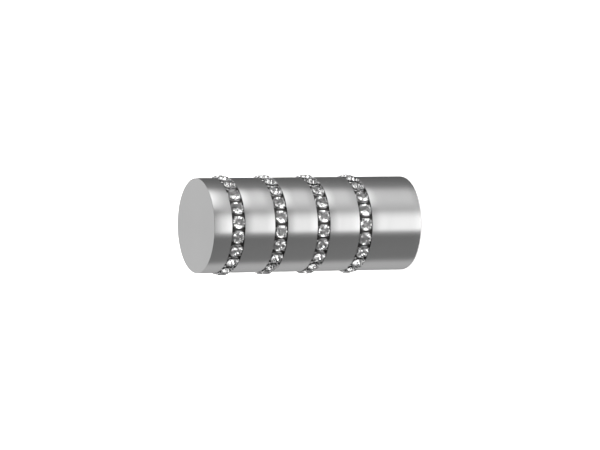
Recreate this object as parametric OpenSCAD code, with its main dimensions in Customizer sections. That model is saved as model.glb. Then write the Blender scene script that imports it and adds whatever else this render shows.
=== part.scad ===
// Jewelled cryptex: four stone-set dials turn on a slotted lock tube, between fixed sleeves.
// Each stone sits in a cup with four claws, and each cup stands in a slot across its dial.
// When every dial's notch stands over the slot, the cap lifts the vault tube straight out.
// It stands on its base: the axis is +Z, z = 0 is the base's flat face, and the slot faces +Y.
// A direction round the axis is an angle from -Y, counted towards +X.

/* [Outer body] */
// Diameter of the smooth body
body_d = 48; // [47:0.5:52]
// Length of the base sleeve, from the flat face to the lowest dial
base_len = 28.1; // [24:0.1:40]
// Length of each sleeve between two dials
sleeve_len = 16.4; // [13:0.1:24]
// Length of the cap that carries the vault
cap_len = 9.7; // [9.5:0.1:14]
// Radius of the rounded edge at the foot
foot_round = 1.0; // [0.3:0.1:1.5]
// Bevel on the other turned edges
edge_bevel = 0.1; // [0.05:0.05:0.3]
// Length over which buffing has rounded off each end of a smooth segment
roll_len = 4.8; // [3:0.1:4.8]
// How far that has lowered the surface at the very end
roll_drop = 0.12; // [0.04:0.02:0.2]

/* [Dials and stones] */
// Width of the channel that a dial fills
dial_w = 7.0; // [6.8:0.1:8]
// Depth of the dial's dark face below the smooth body
dial_sink = 0.7; // [0.3:0.1:0.9]
// Number of stones in one dial
stone_count = 20; // [16:1:20]
// Diameter of a stone at its girdle
stone_d = 6.2; // [5.8:0.1:6.3]
// Height that the stones' tables stand above the smooth body
stone_proud = 1.2; // [0.8:0.1:1.4]
// Width of a stone's flat table
table_d = 3.5; // [2.8:0.1:4]
// Width of a stone's cup, round the dial
cup_w = 6.4; // [6.3:0.1:6.4]
// Length of a stone's cup, along the axis
cup_len = 6.6; // [6.3:0.1:6.6]
// Free gap on each face of a dial
dial_gap = 0.1; // [0.05:0.05:0.15]

/* [Lock and vault] */
// Inner diameter of the vault
vault_bore = 27; // [24:0.5:27]
// Wall of the vault tube
vault_wall = 1.7; // [1.4:0.1:1.7]
// Sliding clearance between the vault tube and the lock tube, on the radius
slide_gap = 0.08; // [0.05:0.01:0.1]
// Running clearance between a dial and the lock tube, on the radius
run_gap = 0.06; // [0.03:0.01:0.1]
// Diameter of the locking pins
pin_d = 3.0; // [2.5:0.1:3]
// Diameter of the small screws' threads
screw_d = 2.5; // [2:0.1:2.5]

/* [Hidden] */
$fn = 96;
dial_count = 4;
eps = 0.01;

// Heights along the axis
pitch = dial_w + sleeve_len;
cap_z = base_len + dial_count * pitch - sleeve_len;
total_h = cap_z + cap_len;
plate_t = 4;
flange_t = 2.5;
flange_z = plate_t + flange_t;
cap_crown = 5;
vault_top_z = total_h - cap_crown;
vault_floor = 3;
tube_top_z = vault_top_z - 1.5;
collar_h = 3;
stop_t = 1.5;
vault_rim_z = plate_t + stop_t + 0.1;
drag_z = vault_rim_z + 6.4;
drag_w = 1.6;

// Radii, from the axis outwards
body_r = body_d / 2;
vault_in_r = vault_bore / 2;
vault_out_r = vault_in_r + vault_wall;
tube_in_r = vault_out_r + slide_gap;
tube_out_r = tube_in_r + 1.92;
dial_in_r = tube_out_r + run_gap;
pin_r = pin_d / 2;
pin_tip_r = tube_out_r + 1.4;
groove_r = pin_tip_r + 0.3;
key_tip_r = groove_r - 0.9;
key_seat_r = tube_out_r - 1;
washer_in_r = groove_r + 0.5;
washer_out_r = washer_in_r + 1.4;
collar_r = 21;
recess_r = 21.6;
flange_r = 21.5;
plate_r = 22;
screw_ring_r = 19.2;
cap_screw_ring_r = 7;
dial_out_r = body_r - dial_sink;
table_r = body_r + stone_proud;
girdle_top_r = table_r - 1;
girdle_low_r = girdle_top_r - 0.2;
culet_r = girdle_low_r - 2.6;
cup_floor_r = culet_r - 0.3;
cup_in_r = stone_d / 2 - 0.25;
cup_corner_r = 3.6;
claw_r = 0.4;
claw_top_r = girdle_top_r + 0.45;
claw_from_stone = 0.2;

// Widths round the axis
notch_w = pin_d + 0.8;
slot_w = pin_d + 0.4;
groove_w = pin_d + 0.4;
key_w = 3;
key_len = 10;
index_w = 0.6;
index_depth = 0.3;
washer_t = 0.65;
pocket_t = 0.6;
screw_r = screw_d / 2;
head_r = 2.4;
head_h = head_r - screw_r;
screw_slack = 0.1;
hex_r = 0.87;
hex_depth = 1;
slot_slack = 0.04;

// Angle of one stone of each dial from the front, -Y, top dial first
stone_phase = [5.2, -6.7, -6.5, 0.6];
// Place of each dial's smoky marker, in stones from the index line at +Y
marker_step = [2, -3, 1, -2];
step_angle = 360 / stone_count;

// Dial 1 is next to the cap, and dial 4 next to the base
function dial_z(n) = base_len + (dial_count - n) * pitch;
function dial_mid_z(n) = dial_z(n) + dial_w / 2;
function sleeve_z(n) = dial_z(n) - sleeve_len;
function marker_index(n) = stone_count / 2 + marker_step[n - 1];

// Radius of a smooth segment's surface at a distance from its nearer end
roll_steps = 12;
function roll_t(i) = edge_bevel + (roll_len - edge_bevel) * i / roll_steps;
function roll_r(t) = body_r - roll_drop * pow(1 - t / roll_len, 2);
end_r = roll_r(edge_bevel) - edge_bevel;

// A smooth segment of the body: a turned ring whose two ends are bevelled and buffed off
module smooth_ring(r_in, h) {
    rotate_extrude()
        polygon(concat(
            [[r_in, 0], [end_r, 0]],
            [for (i = [0 : roll_steps]) [roll_r(roll_t(i)), roll_t(i)]],
            [for (i = [roll_steps : -1 : 0]) [roll_r(roll_t(i)), h - roll_t(i)]],
            [[end_r, h], [r_in, h]]
        ));
}

// A turned ring with bevelled outer edges
module turned_ring(r_in, r_out, h) {
    rotate_extrude()
        polygon([
            [r_in, 0],
            [r_out - edge_bevel, 0],
            [r_out, edge_bevel],
            [r_out, h - edge_bevel],
            [r_out - edge_bevel, h],
            [r_in, h]
        ]);
}

// A plain flat ring
module flat_ring(r_in, r_out, h) {
    difference() {
        cylinder(r = r_out, h = h);
        translate([0, 0, -eps])
            cylinder(r = r_in, h = h + 2 * eps);
    }
}

// A straight channel outward from the axis, towards +Y
module channel(width, r_from, r_to, h) {
    translate([-width / 2, r_from, 0])
        cube([width, r_to - r_from, h]);
}

// A round bar that lies along +Y, between two distances from the axis
module radial_bar(r, from, to) {
    translate([0, from, 0])
        rotate([-90, 0, 0])
            cylinder(r = r, h = to - from);
}

// The shallow index line on a smooth piece, under which the slot lies
module index_line(h) {
    translate([0, 0, -eps])
        channel(index_w, body_r - index_depth, body_r + 1, h + 2 * eps);
}

// A countersunk screw that points up from its head, or the hole for it
module countersunk(length, clearance) {
    cylinder(r1 = head_r, r2 = screw_r, h = head_h);
    cylinder(r = screw_r + clearance, h = length);
}

module countersunk_screw(length) {
    difference() {
        countersunk(length, 0);
        translate([0, 0, -eps])
            cylinder(r = hex_r, h = hex_depth, $fn = 6);
    }
}

module at_cap_screws() {
    for (a = [60 : 120 : 300])
        rotate([0, 0, a])
            translate([cap_screw_ring_r, 0, vault_top_z - vault_floor])
                children();
}

module at_base_screws(z) {
    for (a = [45 : 90 : 315])
        rotate([0, 0, a])
            translate([screw_ring_r, 0, z])
                children();
}

module cap() {
    color("silver")
        difference() {
            translate([0, 0, cap_z])
                smooth_ring(0, cap_len);
            translate([0, 0, cap_z - eps])
                cylinder(r = recess_r, h = vault_top_z - cap_z + eps);
            at_cap_screws()
                cylinder(r = screw_r, h = vault_floor + cap_crown - 1.5);
            translate([0, 0, cap_z])
                index_line(cap_len);
        }
}

module vault_tube() {
    color("goldenrod")
        difference() {
            translate([0, 0, vault_rim_z])
                cylinder(r = vault_out_r, h = vault_top_z - vault_rim_z);
            translate([0, 0, vault_rim_z - eps])
                cylinder(r = vault_in_r, h = vault_top_z - vault_floor - vault_rim_z + eps);
            at_cap_screws()
                countersunk(vault_floor + eps, screw_slack);
            for (n = [1 : dial_count])
                translate([0, 0, dial_mid_z(n)])
                    radial_bar(pin_r, vault_in_r - 1, vault_out_r + 1);
            translate([0, 0, drag_z])
                flat_ring(vault_out_r - 1.2, vault_out_r + 1, drag_w);
        }
}

module cap_screws() {
    color("dimgray")
        at_cap_screws()
            countersunk_screw(vault_floor + cap_crown - 2);
}

module drag_ring() {
    section_r = (tube_in_r - 0.03 - (vault_out_r - 1.2)) / 2;
    color("black")
        translate([0, 0, drag_z + drag_w / 2])
            rotate_extrude()
                translate([vault_out_r - 1.2 + section_r, 0])
                    circle(r = section_r);
}

module locking_pin(n) {
    color("lightgray")
        translate([0, 0, dial_mid_z(n)])
            union() {
                radial_bar(pin_r, vault_in_r + 0.1, pin_tip_r - 0.3);
                translate([0, pin_tip_r - 0.3, 0])
                    rotate([-90, 0, 0])
                        cylinder(r1 = pin_r, r2 = pin_r - 0.3, h = 0.3);
            }
}

module key_shape(from, to) {
    end = (key_len - key_w) / 2;
    rotate([0, 0, 180]) {
        translate([0, 0, -end])
            channel(key_w, from, to, 2 * end);
        for (z = [-end, end])
            translate([0, 0, z])
                radial_bar(key_w / 2, from, to);
    }
}

module collar_screw_holes() {
    for (side = [-90, 90])
        rotate([0, 0, side])
            translate([0, 0, cap_z + collar_h / 2])
                radial_bar(screw_d / 2 - 0.25, tube_out_r - 0.8, collar_r + 1);
}

module lock_tube() {
    slot_end_z = dial_mid_z(dial_count) - 0.3;
    color("gray")
        difference() {
            union() {
                translate([0, 0, plate_t])
                    cylinder(r = tube_out_r, h = tube_top_z - plate_t);
                translate([0, 0, plate_t])
                    cylinder(r = flange_r, h = flange_t);
            }
            translate([0, 0, plate_t - eps])
                cylinder(r = tube_in_r, h = tube_top_z);
            translate([0, 0, slot_end_z])
                channel(slot_w, tube_in_r - 2, tube_out_r + 1, tube_top_z);
            translate([0, 0, slot_end_z])
                radial_bar(slot_w / 2, tube_in_r - 2, tube_out_r + 1);
            for (n = [1 : dial_count - 1])
                translate([0, 0, sleeve_z(n) + sleeve_len / 2])
                    key_shape(key_seat_r, tube_out_r + 1);
            collar_screw_holes();
            at_base_screws(plate_t - eps)
                cylinder(r = screw_r + screw_slack, h = flange_t + 2 * eps);
        }
}

module collar() {
    color("gray")
        difference() {
            translate([0, 0, cap_z])
                turned_ring(tube_out_r, collar_r, collar_h);
            translate([0, 0, cap_z - eps])
                channel(notch_w, tube_out_r - 1, groove_r, collar_h + 2 * eps);
            collar_screw_holes();
        }
}

module collar_screws() {
    color("dimgray")
        for (side = [-90, 90])
            rotate([0, 0, side])
                translate([0, 0, cap_z + collar_h / 2])
                    difference() {
                        radial_bar(screw_d / 2 - 0.25, tube_out_r - 0.8, collar_r - 0.3);
                        translate([0, collar_r - 1.3, 0])
                            rotate([-90, 0, 0])
                                cylinder(r = hex_r / 1.6, h = 2, $fn = 6);
                    }
}

module sleeve(n) {
    color("silver")
        translate([0, 0, sleeve_z(n)])
            difference() {
                smooth_ring(tube_out_r, sleeve_len);
                translate([0, 0, -eps])
                    channel(notch_w, tube_out_r - 1, groove_r, sleeve_len + 2 * eps);
                rotate([0, 0, 180])
                    translate([0, 0, -eps])
                        channel(key_w, tube_out_r - 1, key_tip_r, sleeve_len + 2 * eps);
                index_line(sleeve_len);
            }
}

module sleeve_key(n) {
    color("gray")
        translate([0, 0, sleeve_z(n) + sleeve_len / 2])
            key_shape(key_seat_r, key_tip_r);
}

// The foot's rounded edge is a quarter circle in the turned outline, and buffing starts above it
arc_steps = 8;
foot_r = roll_r(foot_round) - foot_round;
function foot_arc(a) = [foot_r + foot_round * sin(a), foot_round - foot_round * cos(a)];
function foot_t(i) = foot_round + (roll_len - foot_round) * i / roll_steps;

module base_sleeve() {
    color("silver")
        difference() {
            rotate_extrude()
                polygon(concat(
                    [[0, 0]],
                    [for (i = [0 : arc_steps]) foot_arc(90 * i / arc_steps)],
                    [for (i = [1 : roll_steps]) [roll_r(foot_t(i)), foot_t(i)]],
                    [for (i = [roll_steps : -1 : 0]) [roll_r(roll_t(i)), base_len - roll_t(i)]],
                    [[end_r, base_len], [0, base_len]]
                ));
            translate([0, 0, -eps])
                cylinder(r = plate_r, h = plate_t + eps);
            translate([0, 0, plate_t - eps])
                cylinder(r = flange_r, h = flange_t + eps);
            cylinder(r = tube_out_r, h = base_len + 1);
            at_base_screws(flange_z - eps)
                cylinder(r = screw_r, h = 7);
            translate([0, 0, 2])
                index_line(base_len);
        }
}

module base_plate() {
    color("silver")
        difference() {
            cylinder(r = plate_r, h = plate_t);
            at_base_screws(-eps)
                cylinder(r = head_r, h = 0.2 + eps);
            at_base_screws(0.2)
                countersunk(plate_t, screw_slack);
        }
}

module base_screws() {
    color("dimgray")
        at_base_screws(0.2)
            countersunk_screw(12);
}

module stop_ring() {
    color("black")
        translate([0, 0, plate_t])
            flat_ring(vault_in_r - 0.1, vault_out_r - 0.2, stop_t);
}

// A round brilliant stone, turned about its own axis, which points away from the dial's axis
module stone() {
    rotate([90, 0, 0])
        rotate_extrude()
            polygon([
                [0, culet_r],
                [stone_d / 2, girdle_low_r],
                [stone_d / 2, girdle_top_r],
                [table_d / 2, table_r],
                [0, table_r]
            ]);
}

// A block between two distances from the dial's axis, towards -Y
module block(width, length, from, to) {
    translate([-width / 2, -to, -length / 2])
        cube([width, to - from, length]);
}

// A round post that lies along -Y, between two distances from the dial's axis
module post(r, from, to) {
    rotate([0, 0, 180])
        radial_bar(r, from, to);
}

// The stamped cup under one stone, with four claws at its corners
module cup() {
    claw_at = (stone_d / 2 + claw_from_stone) / sqrt(2);
    difference() {
        union() {
            intersection() {
                block(cup_w, cup_len, cup_floor_r, girdle_low_r);
                post(cup_corner_r, cup_floor_r, girdle_low_r);
            }
            for (x = [-claw_at, claw_at])
                for (z = [-claw_at, claw_at])
                    translate([x, 0, z])
                        post(claw_r, girdle_low_r - 0.5, claw_top_r);
        }
        post(cup_in_r, culet_r, body_r);
        stone();
    }
}

module at_stone(n, k) {
    translate([0, 0, dial_mid_z(n)])
        rotate([0, 0, stone_phase[n - 1] + k * step_angle])
            children();
}

module dial(n) {
    face_w = dial_w - 2 * dial_gap;
    color("black")
        difference() {
            translate([0, 0, dial_z(n) + dial_gap])
                flat_ring(dial_in_r, dial_out_r, face_w);
            translate([0, 0, dial_mid_z(n) - groove_w / 2])
                cylinder(r = groove_r, h = groove_w);
            translate([0, 0, dial_z(n)])
                channel(notch_w, dial_in_r - 1, groove_r, dial_w);
            translate([0, 0, dial_z(n)])
                flat_ring(washer_in_r, washer_out_r, dial_gap + pocket_t);
            translate([0, 0, dial_z(n) + dial_w - dial_gap - pocket_t])
                flat_ring(washer_in_r, washer_out_r, dial_gap + pocket_t);
            for (k = [0 : stone_count - 1])
                at_stone(n, k)
                    block(cup_w + slot_slack, dial_w, cup_floor_r, body_r);
        }
}

module dial_cups(n) {
    color("gainsboro")
        for (k = [0 : stone_count - 1])
            at_stone(n, k)
                cup();
}

module dial_stones(n) {
    color("white")
        for (k = [0 : stone_count - 1])
            if (k != marker_index(n))
                at_stone(n, k)
                    stone();
}

module dial_marker(n) {
    color("dimgray")
        at_stone(n, marker_index(n))
            stone();
}

module dial_washer_top(n) {
    color("ivory")
        translate([0, 0, dial_z(n) + dial_w - dial_gap - pocket_t])
            flat_ring(washer_in_r, washer_out_r, washer_t);
}

module dial_washer_bottom(n) {
    color("ivory")
        translate([0, 0, dial_z(n) + dial_gap + pocket_t - washer_t])
            flat_ring(washer_in_r, washer_out_r, washer_t);
}

cap();
vault_tube();
cap_screws();
drag_ring();
lock_tube();
collar();
collar_screws();
base_sleeve();
base_plate();
base_screws();
stop_ring();
for (n = [1 : dial_count - 1]) {
    sleeve(n);
    sleeve_key(n);
}
for (n = [1 : dial_count]) {
    locking_pin(n);
    dial(n);
    dial_cups(n);
    dial_stones(n);
    dial_marker(n);
    dial_washer_top(n);
    dial_washer_bottom(n);
}
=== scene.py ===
"""Jewelled cryptex: a satin stainless cylinder with four dials of brilliant-cut crystals.

It stands on its base, with its axis along +Z. A direction round the axis is an angle from -Y
towards +X, as in the CAD model. Lengths are in metres, and a size times MM is in millimetres.
"""

import math
import random

import bmesh
import bpy
from mathutils import Matrix, Vector


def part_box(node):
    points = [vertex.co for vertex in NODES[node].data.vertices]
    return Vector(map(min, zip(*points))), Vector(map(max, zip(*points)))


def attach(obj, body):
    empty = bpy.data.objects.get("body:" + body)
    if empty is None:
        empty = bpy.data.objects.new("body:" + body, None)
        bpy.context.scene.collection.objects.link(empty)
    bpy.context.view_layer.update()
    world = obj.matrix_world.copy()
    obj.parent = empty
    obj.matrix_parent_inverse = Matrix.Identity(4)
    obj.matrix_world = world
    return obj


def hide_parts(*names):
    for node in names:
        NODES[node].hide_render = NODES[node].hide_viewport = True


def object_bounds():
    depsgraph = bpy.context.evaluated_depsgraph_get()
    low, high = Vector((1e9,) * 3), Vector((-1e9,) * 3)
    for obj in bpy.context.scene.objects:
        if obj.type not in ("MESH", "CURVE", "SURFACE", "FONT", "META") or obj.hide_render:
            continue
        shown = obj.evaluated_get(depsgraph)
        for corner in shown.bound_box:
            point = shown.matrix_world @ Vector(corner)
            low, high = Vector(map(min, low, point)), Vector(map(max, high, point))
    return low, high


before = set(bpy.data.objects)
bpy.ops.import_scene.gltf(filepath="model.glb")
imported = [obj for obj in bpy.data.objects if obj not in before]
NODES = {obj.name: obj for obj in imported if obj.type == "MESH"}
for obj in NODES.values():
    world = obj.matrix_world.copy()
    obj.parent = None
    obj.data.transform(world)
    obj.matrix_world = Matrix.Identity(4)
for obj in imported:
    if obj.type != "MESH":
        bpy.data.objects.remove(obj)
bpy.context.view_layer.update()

MM = 0.001
DIALS = (1, 2, 3, 4)


# ---------------------------------------------------------------- shader helpers

def linear(hex_code, alpha=1.0):
    """An sRGB hex colour as the linear colour that shaders take."""
    channels = [int(hex_code[i : i + 2], 16) / 255 for i in (1, 3, 5)]
    out = [c / 12.92 if c <= 0.04045 else ((c + 0.055) / 1.055) ** 2.4 for c in channels]
    return (*out, alpha)


def add(tree, kind, inputs=None, **settings):
    """Adds a node. Each input is a plain value, or the output socket that feeds it."""
    made = tree.nodes.new(kind)
    for name, value in settings.items():
        setattr(made, name, value)
    for key, value in (inputs or {}).items():
        if isinstance(value, bpy.types.NodeSocket):
            tree.links.new(value, made.inputs[key])
        else:
            made.inputs[key].default_value = value
    return made


def new_material(name):
    """An empty node material, its tree and its output node."""
    material = bpy.data.materials.new(name)
    material.use_nodes = True
    tree = material.node_tree
    tree.nodes.clear()
    return material, tree, add(tree, "ShaderNodeOutputMaterial")


def turned_coordinates(tree, line_mm, arc_mm):
    """Coordinates that change fast across a lathe's marks and slowly along them.

    line_mm is the spacing of the marks and arc_mm is how long one lasts round the axis.
    """
    place = add(tree, "ShaderNodeTexCoord").outputs["Object"]
    parts = add(tree, "ShaderNodeSeparateXYZ", {0: place})
    flat = add(tree, "ShaderNodeCombineXYZ", {"X": parts.outputs["X"], "Y": parts.outputs["Y"]})
    radius = add(tree, "ShaderNodeVectorMath", {0: flat.outputs[0]}, operation="LENGTH")
    across = add(
        tree,
        "ShaderNodeMath",
        {0: radius.outputs["Value"], 1: parts.outputs["Z"]},
        operation="ADD",
    )
    fast = add(
        tree,
        "ShaderNodeMath",
        {0: across.outputs[0], 1: 1 / (line_mm * MM)},
        operation="MULTIPLY",
    )
    slow = add(
        tree,
        "ShaderNodeVectorMath",
        {0: flat.outputs[0], "Scale": 1 / (arc_mm * MM)},
        operation="SCALE",
    )
    slow_parts = add(tree, "ShaderNodeSeparateXYZ", {0: slow.outputs[0]})
    return add(
        tree,
        "ShaderNodeCombineXYZ",
        {"X": slow_parts.outputs["X"], "Y": slow_parts.outputs["Y"], "Z": fast.outputs[0]},
    ).outputs[0]


# ---------------------------------------------------------------- metals

# How long one mark lasts round the axis, and how wide and long a band of wear is, in mm
MARK_ARC = 9.0
WEAR_LINE, WEAR_ARC = 4.0, 22.0
# How far wear shifts the roughness either way
WEAR_SPREAD = 0.03
# The anisotropy's turn, as a share of a full circle, that lays the blur across the marks
QUARTER_TURN = 0.25


def turned_metal(name, colour, roughness, anisotropy, line_mm, depth_mm):
    """A metal with lathe or brush marks round the axis, and broad bands of slightly uneven wear.

    The marks blur what it mirrors along the axis and leave it sharp round the axis.
    """
    material, tree, out = new_material(name)
    marks = add(
        tree,
        "ShaderNodeTexNoise",
        {
            "Vector": turned_coordinates(tree, line_mm, MARK_ARC),
            "Scale": 1.0,
            "Detail": 3.0,
            "Roughness": 0.6,
        },
    )
    wear = add(
        tree,
        "ShaderNodeTexNoise",
        {"Vector": turned_coordinates(tree, WEAR_LINE, WEAR_ARC), "Scale": 1.0, "Detail": 2.0},
    )
    sheen = add(
        tree,
        "ShaderNodeMapRange",
        {
            "Value": wear.outputs[0],
            "To Min": roughness - WEAR_SPREAD,
            "To Max": roughness + WEAR_SPREAD,
        },
    )
    bump = add(
        tree,
        "ShaderNodeBump",
        {"Height": marks.outputs[0], "Distance": depth_mm * MM, "Strength": 1.0},
    )
    tangent = add(tree, "ShaderNodeTangent", direction_type="RADIAL", axis="Z")
    shader = add(
        tree,
        "ShaderNodeBsdfPrincipled",
        {
            "Base Color": linear(colour),
            "Metallic": 1.0,
            "Roughness": sheen.outputs[0],
            "Anisotropic": anisotropy,
            "Anisotropic Rotation": QUARTER_TURN,
            "Tangent": tangent.outputs[0],
            "Normal": bump.outputs[0],
        },
    )
    tree.links.new(shader.outputs[0], out.inputs["Surface"])
    return material


# Stainless steel, turned and then brushed round with a fine pad: a soft satin grey, whose
# reflections stand as clean bands along the axis. The pad's real lines are finer than 0.1 mm,
# and are drawn at 0.18 mm so that they show.
satin_stainless = turned_metal("satin_stainless", "#cccccc", 0.22, 0.55, 0.18, 0.0015)
# Stainless steel as it comes off the lathe, with feed marks 0.3 mm apart: duller and more
# clearly ringed than the brushed outside.
turned_stainless = turned_metal("turned_stainless", "#b9b8b6", 0.30, 0.4, 0.30, 0.004)
# Brass, turned with a fine feed and wiped clean: a warm yellow with soft rings round it.
turned_brass = turned_metal("turned_brass", "#d2a45a", 0.26, 0.4, 0.25, 0.003)
# Hardened dowel steel, ground: bright and smooth. Grinding marks are much finer than 0.2 mm,
# and are drawn that coarse so that they show.
ground_steel = turned_metal("ground_steel", "#c4c4c4", 0.20, 0.2, 0.20, 0.001)


# How far the grain shifts the roughness either way, as a share of it
GRAIN_SPREAD = 0.2


def fine_grained(name, colour, metallic, roughness, grain_mm, depth_mm):
    """A finish with an even grain that runs in no direction."""
    spread = GRAIN_SPREAD * roughness
    material, tree, out = new_material(name)
    place = add(tree, "ShaderNodeTexCoord").outputs["Object"]
    grain = add(
        tree,
        "ShaderNodeTexNoise",
        {"Vector": place, "Scale": 1 / (grain_mm * MM), "Detail": 3.0},
    )
    sheen = add(
        tree,
        "ShaderNodeMapRange",
        {"Value": grain.outputs[0], "To Min": roughness - spread, "To Max": roughness + spread},
    )
    bump = add(
        tree,
        "ShaderNodeBump",
        {"Height": grain.outputs[0], "Distance": depth_mm * MM, "Strength": 1.0},
    )
    shader = add(
        tree,
        "ShaderNodeBsdfPrincipled",
        {
            "Base Color": linear(colour),
            "Metallic": metallic,
            "Roughness": sheen.outputs[0],
            "Normal": bump.outputs[0],
        },
    )
    tree.links.new(shader.outputs[0], out.inputs["Surface"])
    return material


# Steel, blasted and chemically blackened: nearly black with a dull sheen, so that the stones
# stand out. The blasted grain is finer than this, and is drawn at 0.35 mm so that it shows.
blackened_steel = fine_grained("blackened_steel", "#3c3b3a", 0.7, 0.40, 0.35, 0.01)
# Alloy steel screws, black oxided in a bath: a dark, slightly oily film over the metal.
black_oxide = fine_grained("black_oxide", "#262524", 0.8, 0.36, 0.25, 0.006)
# Brass, stamped and bright nickel plated: the thin, mirror-like metal of the stones' cups.
bright_nickel = fine_grained("bright_nickel", "#cfcfcf", 1.0, 0.14, 0.60, 0.004)
# Nitrile rubber, moulded: matt black.
nitrile_rubber = fine_grained("nitrile_rubber", "#191919", 0.0, 0.72, 0.20, 0.01)
# Natural nylon, punched from sheet: milky and slightly waxy.
natural_nylon = fine_grained("natural_nylon", "#dedbd0", 0.0, 0.45, 0.60, 0.006)


# ---------------------------------------------------------------- stones

CRYSTAL_IOR = 1.56
# How wide a patch of slightly duller polish is, in mm, and the most roughness it has
POLISH_PATCH = 0.8
POLISH_SPREAD = 0.03


def crystal(name, colour):
    """Lead crystal, cut and polished: sharp, bright facets with a high refraction."""
    material, tree, out = new_material(name)
    place = add(tree, "ShaderNodeTexCoord").outputs["Object"]
    haze = add(
        tree,
        "ShaderNodeTexNoise",
        {"Vector": place, "Scale": 1 / (POLISH_PATCH * MM), "Detail": 1.0},
    )
    polish = add(
        tree,
        "ShaderNodeMapRange",
        {"Value": haze.outputs[0], "To Min": 0.0, "To Max": POLISH_SPREAD},
    )
    shader = add(
        tree,
        "ShaderNodeBsdfPrincipled",
        {
            "Base Color": linear(colour),
            "Roughness": polish.outputs[0],
            "IOR": CRYSTAL_IOR,
            "Transmission Weight": 1.0,
        },
    )
    tree.links.new(shader.outputs[0], out.inputs["Surface"])
    return material


# Clear lead crystal, faceted and polished: bright facets round a greyer flat table.
clear_crystal = crystal("clear_crystal", "#ffffff")
# Smoky lead crystal, cut in the same way: nearly black, with a few faint glints.
smoky_crystal = crystal("smoky_crystal", "#55504d")
# Silver, deposited as a thin foil on a stone's point: a mirror that throws the light back out
# through the top.
silver_foil = fine_grained("silver_foil", "#f0f0f0", 1.0, 0.05, 0.5, 0.0)
# The same foil behind a smoky stone, with a dark lacquer over it: it keeps the stone dark.
smoky_foil = fine_grained("smoky_foil", "#6f6a66", 1.0, 0.05, 0.5, 0.0)

SEED = 7
STONE_COUNT = 20
STONE_STEP = math.tau / STONE_COUNT
# For each dial, how far its first stone is turned from -Y, and how many stones the smoky one
# stands from the middle of the back
STONE_PHASE = [math.radians(a) for a in (5.2, -6.7, -6.5, 0.6)]
MARKER_STEP = (2, -3, 1, -2)
BODY_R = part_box("cap")[1].x
STONE_R = 0.5 * (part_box("dial_1_stones")[1].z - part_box("dial_1_stones")[0].z)
CROWN_H = 1.0 * MM
STONE_PROUD = 1.14 * MM
GIRDLE_OUT = BODY_R + STONE_PROUD - CROWN_H
# The most that a stone leans in its seat, either way
STONE_LEAN = 2.5


def dial_mid_z(n):
    low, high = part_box(f"dial_{n}")
    return 0.5 * (low.z + high.z)


def add_brilliant(mesh, place):
    """One round brilliant: its table faces local +Z, and z = 0 is the girdle's upper edge.

    Faces of the point get material 1, and all others material 0.
    """
    radius = STONE_R - 0.01 * MM
    table_r = 0.58 * radius
    star_r = 0.78 * radius
    lower_r = 0.25 * radius
    girdle_h = 0.06 * MM
    point_h = 2.90 * MM
    half = math.cos(math.pi / 8)
    crown_slope = CROWN_H / (radius - table_r)
    point_slope = point_h / radius
    star_h = (radius - star_r * half) * crown_slope
    lower_h = -girdle_h - (radius - lower_r * half) * point_slope

    def vert(r, step, z):
        angle = step * math.tau / 16
        return mesh.verts.new(place @ Vector((r * math.cos(angle), r * math.sin(angle), z)))

    table = [vert(table_r, 2 * i, CROWN_H) for i in range(8)]
    star = [vert(star_r, 2 * i + 1, star_h) for i in range(8)]
    girdle = [vert(radius, j, 0) for j in range(16)]
    edge = [vert(radius, j, -girdle_h) for j in range(16)]
    lower = [vert(lower_r, 2 * i + 1, lower_h) for i in range(8)]
    tip = vert(0, 0, -girdle_h - point_h)

    def face(corners, slot):
        mesh.faces.new(corners).material_index = slot

    face(table, 0)
    for i in range(8):
        after, j = (i + 1) % 8, 2 * i
        beyond = (j + 2) % 16
        face([table[i], star[i], table[after]], 0)
        face([table[after], star[i], girdle[beyond], star[after]], 0)
        face([star[i], girdle[j], girdle[j + 1]], 0)
        face([star[i], girdle[j + 1], girdle[beyond]], 0)
        face([lower[i], edge[j + 1], edge[j]], 1)
        face([lower[i], edge[beyond], edge[j + 1]], 1)
        face([tip, lower[after], edge[beyond], lower[i]], 1)
    for j in range(16):
        beyond = (j + 1) % 16
        face([girdle[j], edge[j], edge[beyond], girdle[beyond]], 0)


def seat(n, k):
    """Seat k of dial n: local +Z points outward, local +Y up the axis, z = 0 at the girdle."""
    turn = Matrix.Rotation(STONE_PHASE[n - 1] + k * STONE_STEP, 4, "Z")
    outward = Matrix.Rotation(math.pi / 2, 4, "X")
    return turn @ Matrix.Translation((0, -GIRDLE_OUT, dial_mid_z(n))) @ outward


def stone_place(n, k, chance):
    """Where stone k of dial n sits: in its seat, very slightly uneven."""
    spin = Matrix.Rotation(chance.uniform(0, math.tau), 4, "Z")
    lean = Matrix.Rotation(math.radians(chance.uniform(-STONE_LEAN, STONE_LEAN)), 4, "X")
    sway = Matrix.Rotation(math.radians(chance.uniform(-STONE_LEAN, STONE_LEAN)), 4, "Y")
    return seat(n, k) @ lean @ sway @ spin


def make_piece(name, mesh, materials, body, stands_for):
    """Turns a finished bmesh into a piece that rides on a body in place of a CAD node."""
    bmesh.ops.recalc_face_normals(mesh, faces=mesh.faces)
    data = bpy.data.meshes.new(name)
    mesh.to_mesh(data)
    mesh.free()
    for material in materials:
        data.materials.append(material)
    piece = bpy.data.objects.new(name, data)
    bpy.context.scene.collection.objects.link(piece)
    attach(piece, body)
    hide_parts(stands_for)


CUP_HALF_W = 3.2 * MM
CUP_HALF_L = 3.3 * MM
CUP_CORNER_R = 3.6 * MM
CUP_SIDES = 32
CLAW_COUNT = 4
CLAW_SIDES = 8
# How unevenly the claws were pressed down: degrees round the stone, and mm in or out
CLAW_TURN = 4
CLAW_REACH = 0.08
# Below, heights and distances are in mm, from the girdle and from the stone's own axis.
# The cup's wall from its floor up to its rim: (share of the outline, height)
CUP_WALL = ((0.95, -3.02), (1.0, -2.82), (1.0, -1.00), (0.97, -0.90))
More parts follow.
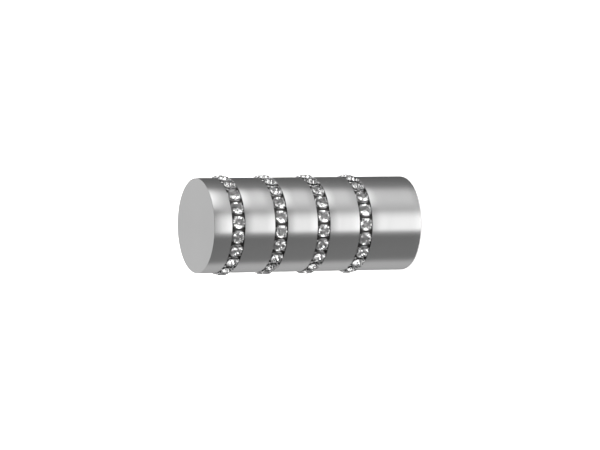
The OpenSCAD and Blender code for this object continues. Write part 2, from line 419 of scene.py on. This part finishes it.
# The round lip that turns down inside the rim, under the stone: (radius, height)
CUP_LIP = ((2.80, -0.86), (2.60, -1.10))
# A claw's centre line, from its root to its tip: (distance, height, half width, half thickness)
CLAW = (
    (3.38, -1.20, 0.34, 0.18),
    (3.42, -0.20, 0.34, 0.20),
    (3.38, 0.12, 0.34, 0.20),
    (3.18, 0.33, 0.32, 0.19),
    (2.92, 0.42, 0.28, 0.17),
    (2.76, 0.44, 0.17, 0.11),
)


def cup_outline(angle):
    """Distance from the stone's axis to the cup's side: a square with rounded corners."""
    across = CUP_HALF_W / max(abs(math.cos(angle)), 1e-6)
    along = CUP_HALF_L / max(abs(math.sin(angle)), 1e-6)
    return min(across, along, CUP_CORNER_R)


def bridge(mesh, rings):
    """Joins rings of the same number of corners with a skin of four-sided faces."""
    for lower, upper in zip(rings, rings[1:]):
        for j in range(len(lower)):
            after = (j + 1) % len(lower)
            mesh.faces.new([lower[j], lower[after], upper[after], upper[j]]).smooth = True


def add_cup(mesh, place, chance):
    """One stamped cup, and its claws bent over the stone's crown."""
    angles = [math.tau * j / CUP_SIDES for j in range(CUP_SIDES)]

    def ring(radius, height):
        spots = [(radius(a) * math.cos(a), radius(a) * math.sin(a), height * MM) for a in angles]
        return [mesh.verts.new(place @ Vector(spot)) for spot in spots]

    wall = [ring(lambda a, share=share: share * cup_outline(a), z) for share, z in CUP_WALL]
    lip = [ring(lambda a, r=r: r * MM, z) for r, z in CUP_LIP]
    bridge(mesh, wall + lip)
    mesh.faces.new(wall[0])
    for claw in range(CLAW_COUNT):
        middle = 360 * (claw + 0.5) / CLAW_COUNT
        turn = math.radians(middle + chance.uniform(-CLAW_TURN, CLAW_TURN))
        reach = chance.uniform(-CLAW_REACH, CLAW_REACH)
        out = Vector((math.cos(turn), math.sin(turn), 0))
        side = Vector((-math.sin(turn), math.cos(turn), 0))
        spine = []
        for distance, height, _, _ in CLAW:
            reached = distance + (reach if height > 0 else 0)
            spine.append(out * reached * MM + Vector((0, 0, height * MM)))
        rings = []
        for i, (_, _, half_w, half_t) in enumerate(CLAW):
            ahead = spine[min(i + 1, len(spine) - 1)] - spine[max(i - 1, 0)]
            thick = ahead.cross(side).normalized()
            corners = []
            for j in range(CLAW_SIDES):
                a = math.tau * j / CLAW_SIDES
                offset = side * half_w * MM * math.cos(a) + thick * half_t * MM * math.sin(a)
                corners.append(mesh.verts.new(place @ (spine[i] + offset)))
            rings.append(corners)
        bridge(mesh, rings)
        mesh.faces.new(rings[0])
        mesh.faces.new(rings[-1]).smooth = True


chance = random.Random(SEED)
for n in DIALS:
    marker = STONE_COUNT // 2 + MARKER_STEP[n - 1]
    stones, smoky, cups = bmesh.new(), bmesh.new(), bmesh.new()
    for k in range(STONE_COUNT):
        add_brilliant(smoky if k == marker else stones, stone_place(n, k, chance))
        add_cup(cups, seat(n, k), chance)
    body = f"dial_{n}"
    clear = [clear_crystal, silver_foil]
    dark = [smoky_crystal, smoky_foil]
    make_piece(f"{body}_brilliants", stones, clear, body, f"{body}_stones")
    make_piece(f"{body}_smoky_stone", smoky, dark, body, f"{body}_marker")
    make_piece(f"{body}_claw_cups", cups, [bright_nickel], body, f"{body}_cups")


# ---------------------------------------------------------------- CAD pieces

def finish_node(name, material):
    piece = NODES[name]
    piece.data.materials.clear()
    piece.data.materials.append(material)


FINISHES = {
    "cap": satin_stainless,
    "base_sleeve": satin_stainless,
    "base_plate": satin_stainless,
    "vault_tube": turned_brass,
    "lock_tube": turned_stainless,
    "collar": turned_stainless,
    "cap_screws": black_oxide,
    "collar_screws": black_oxide,
    "base_screws": black_oxide,
    "drag_ring": nitrile_rubber,
    "stop_ring": nitrile_rubber,
}
for n in (1, 2, 3):
    FINISHES[f"sleeve_{n}"] = satin_stainless
    FINISHES[f"sleeve_key_{n}"] = turned_stainless
for n in DIALS:
    FINISHES[f"dial_{n}"] = blackened_steel
    FINISHES[f"locking_pin_{n}"] = ground_steel
    FINISHES[f"dial_{n}_washer_top"] = natural_nylon
    FINISHES[f"dial_{n}_washer_bottom"] = natural_nylon
for name, material in FINISHES.items():
    finish_node(name, material)


# ---------------------------------------------------------------- camera, floor and light

# The camera looks from -Y, swung towards the cap and raised towards +X, by these angles
SWING, RISE = math.radians(24.48), math.radians(1.755)
CAMERA_DISTANCE = 2.018
CAMERA_LENS = 238.3
SENSOR_WIDTH = 36.0
# How far to the left of the object's middle, and below it, the camera aims
AIM_LEFT, AIM_BELOW = 0.05 * MM, 0.36 * MM


def make_camera():
    """A long lens, a little above the side, and held so that the axis lies level."""
    right = Vector((0, -math.sin(SWING), -math.cos(SWING)))
    level = Vector((0, -math.cos(SWING), math.sin(SWING)))
    back = level * math.cos(RISE) + Vector((math.sin(RISE), 0, 0))
    up = back.cross(right)
    low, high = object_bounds()
    aim = Vector((0, 0, 0.5 * (low.z + high.z))) - right * AIM_LEFT - up * AIM_BELOW
    data = bpy.data.cameras.new("camera")
    data.lens = CAMERA_LENS
    data.sensor_width = SENSOR_WIDTH
    data.clip_start = 0.05
    data.clip_end = 50.0
    camera = bpy.data.objects.new("camera", data)
    turned = Matrix((right, up, back)).transposed().to_4x4()
    camera.matrix_world = Matrix.Translation(aim + back * CAMERA_DISTANCE) @ turned
    bpy.context.scene.collection.objects.link(camera)
    bpy.context.scene.camera = camera


FLOOR_HALF = 6.0
FLOOR_GAP = 0.02 * MM


def make_floor():
    """A wide white floor, just clear of the base's flat face."""
    data = bpy.data.meshes.new("floor")
    half = FLOOR_HALF
    corners = [(-half, -half, 0), (half, -half, 0), (half, half, 0), (-half, half, 0)]
    data.from_pydata(corners, [], [(0, 1, 2, 3)])
    floor = bpy.data.objects.new("floor", data)
    floor.location.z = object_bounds()[0].z - FLOOR_GAP
    # White laminate, pressed smooth and matt. It lights itself a little, as an overlit sweep looks.
    material, tree, out = new_material("white_sweep")
    shader = add(
        tree,
        "ShaderNodeBsdfPrincipled",
        {
            "Base Color": linear("#f4f4f3"),
            "Roughness": 0.8,
            "Emission Color": (1, 1, 1, 1),
            "Emission Strength": 0.55,
        },
    )
    tree.links.new(shader.outputs[0], out.inputs["Surface"])
    data.materials.append(material)
    # The metal and the stones mirror the studio round the sweep, not the sweep itself.
    floor.visible_glossy = False
    floor.visible_transmission = False
    bpy.context.scene.collection.objects.link(floor)


# The studio is soft boxes and dark flags all round, in five bands, one above another. A band is
# a row of stops, each an angle from -Y towards +X in degrees and the brightness there, which
# changes evenly from one stop to the next.

# What the two lower bands share: the stops on the -X side, and those right behind on the +X side
MINUS_X_SIDE = (
    (-180, 0.36), (-172, 0.40), (-160, 0.42), (-130, 0.60), (-112, 0.62), (-96, 0.27),
    (-80, 0.25), (-66, 0.25), (-55, 0.24), (-40, 0.23), (-31, 0.22),
)
PLUS_X_REAR = ((130, 0.21), (158, 0.15), (172, 0.16), (180, 0.36))
# Low down, a soft uplight in front
UPLIGHT = MINUS_X_SIDE + (
    (-22, 0.42), (-13, 1.90), (12, 1.85), (22, 1.50), (34, 0.85), (46, 0.70),
    (54, 0.66), (68, 0.60), (84, 0.55), (104, 0.30),
) + PLUS_X_REAR
# Below the middle, a dark flag in front with a bright box beside it
FRONT_FLAG = MINUS_X_SIDE + (
    (-22, 0.30), (-13, 0.05), (12, 0.05), (22, 0.10), (34, 0.10), (46, 1.30),
    (54, 1.90), (68, 2.50), (84, 2.30), (104, 0.40),
) + PLUS_X_REAR
# Above the middle, dim round the camera
CAMERA_SIDE = (
    (-180, 0.73), (-130, 0.73), (-112, 0.45), (-96, 0.42), (-80, 0.30), (-66, 0.16),
    (-55, 0.20), (54, 0.20), (68, 0.16), (84, 0.40), (104, 0.42), (130, 0.73), (180, 0.73),
)
# Over the camera, the long bright box
LONG_BOX = (
    (-180, 0.73), (-130, 0.73), (-112, 0.45), (-96, 0.42), (-80, 0.30), (-66, 0.10),
    (-55, 0.10), (-40, 0.40), (-31, 0.70), (-22, 1.30), (-13, 2.40), (12, 4.00),
    (22, 4.60), (54, 4.60), (68, 0.10), (84, 0.40), (104, 0.42), (130, 0.73), (180, 0.73),
)
# High up, dark in front and grey behind
HIGH_UP = (
    (-180, 0.73), (-130, 0.73), (-112, 0.20), (-96, 0.10), (104, 0.10), (130, 0.73), (180, 0.73),
)
# Each band with the heights, in degrees, between which the one below it fades into it
BANDS = (
    (-54, -44, UPLIGHT),
    (-26, -14, FRONT_FLAG),
    (-4, 8, CAMERA_SIDE),
    (27, 35, LONG_BOX),
    (46, 56, HIGH_UP),
)
# The sweep's own brightness, below all the bands
SWEEP_LEVEL = 1.5


def band_level(tree, turn, band):
    """A band's brightness. turn goes round the axis, from 0 at -180 degrees to 1 at 180."""
    ramp = add(tree, "ShaderNodeValToRGB", {"Fac": turn})
    stops = ramp.color_ramp.elements
    for i, (angle, level) in enumerate(band):
        at = (angle + 180) / 360
        # A new ramp already has two stops
        stop = stops[i] if i < 2 else stops.new(at)
        stop.position = at
        stop.color = (level, level, level, 1)
    return ramp.outputs[0]


def make_world():
    """The studio that the object mirrors and is lit by. The camera itself sees plain white."""
    world = bpy.data.worlds.new("studio")
    world.use_nodes = True
    tree = world.node_tree
    tree.nodes.clear()
    out = add(tree, "ShaderNodeOutputWorld")
    place = add(tree, "ShaderNodeTexCoord").outputs["Generated"]
    parts = add(tree, "ShaderNodeSeparateXYZ", {0: place})
    front = add(tree, "ShaderNodeMath", {0: parts.outputs["Y"], 1: -1.0}, operation="MULTIPLY")
    angle = add(
        tree,
        "ShaderNodeMath",
        {0: parts.outputs["X"], 1: front.outputs[0]},
        operation="ARCTAN2",
    )
    turn = add(
        tree,
        "ShaderNodeMapRange",
        {"Value": angle.outputs[0], "From Min": -math.pi, "From Max": math.pi},
    )
    studio = (SWEEP_LEVEL, SWEEP_LEVEL, SWEEP_LEVEL, 1)
    for low, high, band in BANDS:
        above = add(
            tree,
            "ShaderNodeMapRange",
            {
                "Value": parts.outputs["Z"],
                "From Min": math.sin(math.radians(low)),
                "From Max": math.sin(math.radians(high)),
            },
            interpolation_type="SMOOTHSTEP",
        )
        level = band_level(tree, turn.outputs[0], band)
        studio = add(
            tree,
            "ShaderNodeMix",
            {"Factor": above.outputs[0], "A": studio, "B": level},
            data_type="RGBA",
        ).outputs[2]
    seen = add(tree, "ShaderNodeLightPath").outputs["Is Camera Ray"]
    whole = add(
        tree,
        "ShaderNodeMix",
        {"Factor": seen, "A": studio, "B": (1, 1, 1, 1)},
        data_type="RGBA",
    )
    light = add(tree, "ShaderNodeBackground", {"Color": whole.outputs[2], "Strength": 1.0})
    tree.links.new(light.outputs[0], out.inputs["Surface"])
    bpy.context.scene.world = world


LAMP_SIDE = 1.6
LAMP_HEIGHT = 1.4
LAMP_WATTS = 18.0


def make_overhead_lamp():
    """A square soft box straight above, which lights what is matt and isn't mirrored."""
    data = bpy.data.lights.new("overhead", "AREA")
    data.shape = "RECTANGLE"
    data.size = LAMP_SIDE
    data.size_y = LAMP_SIDE
    data.energy = LAMP_WATTS
    lamp = bpy.data.objects.new("overhead", data)
    lamp.location.z = LAMP_HEIGHT
    lamp.visible_camera = False
    lamp.visible_glossy = False
    lamp.visible_transmission = False
    bpy.context.scene.collection.objects.link(lamp)


make_camera()
make_floor()
make_world()
make_overhead_lamp()
bpy.context.scene.view_settings.view_transform = "Standard"
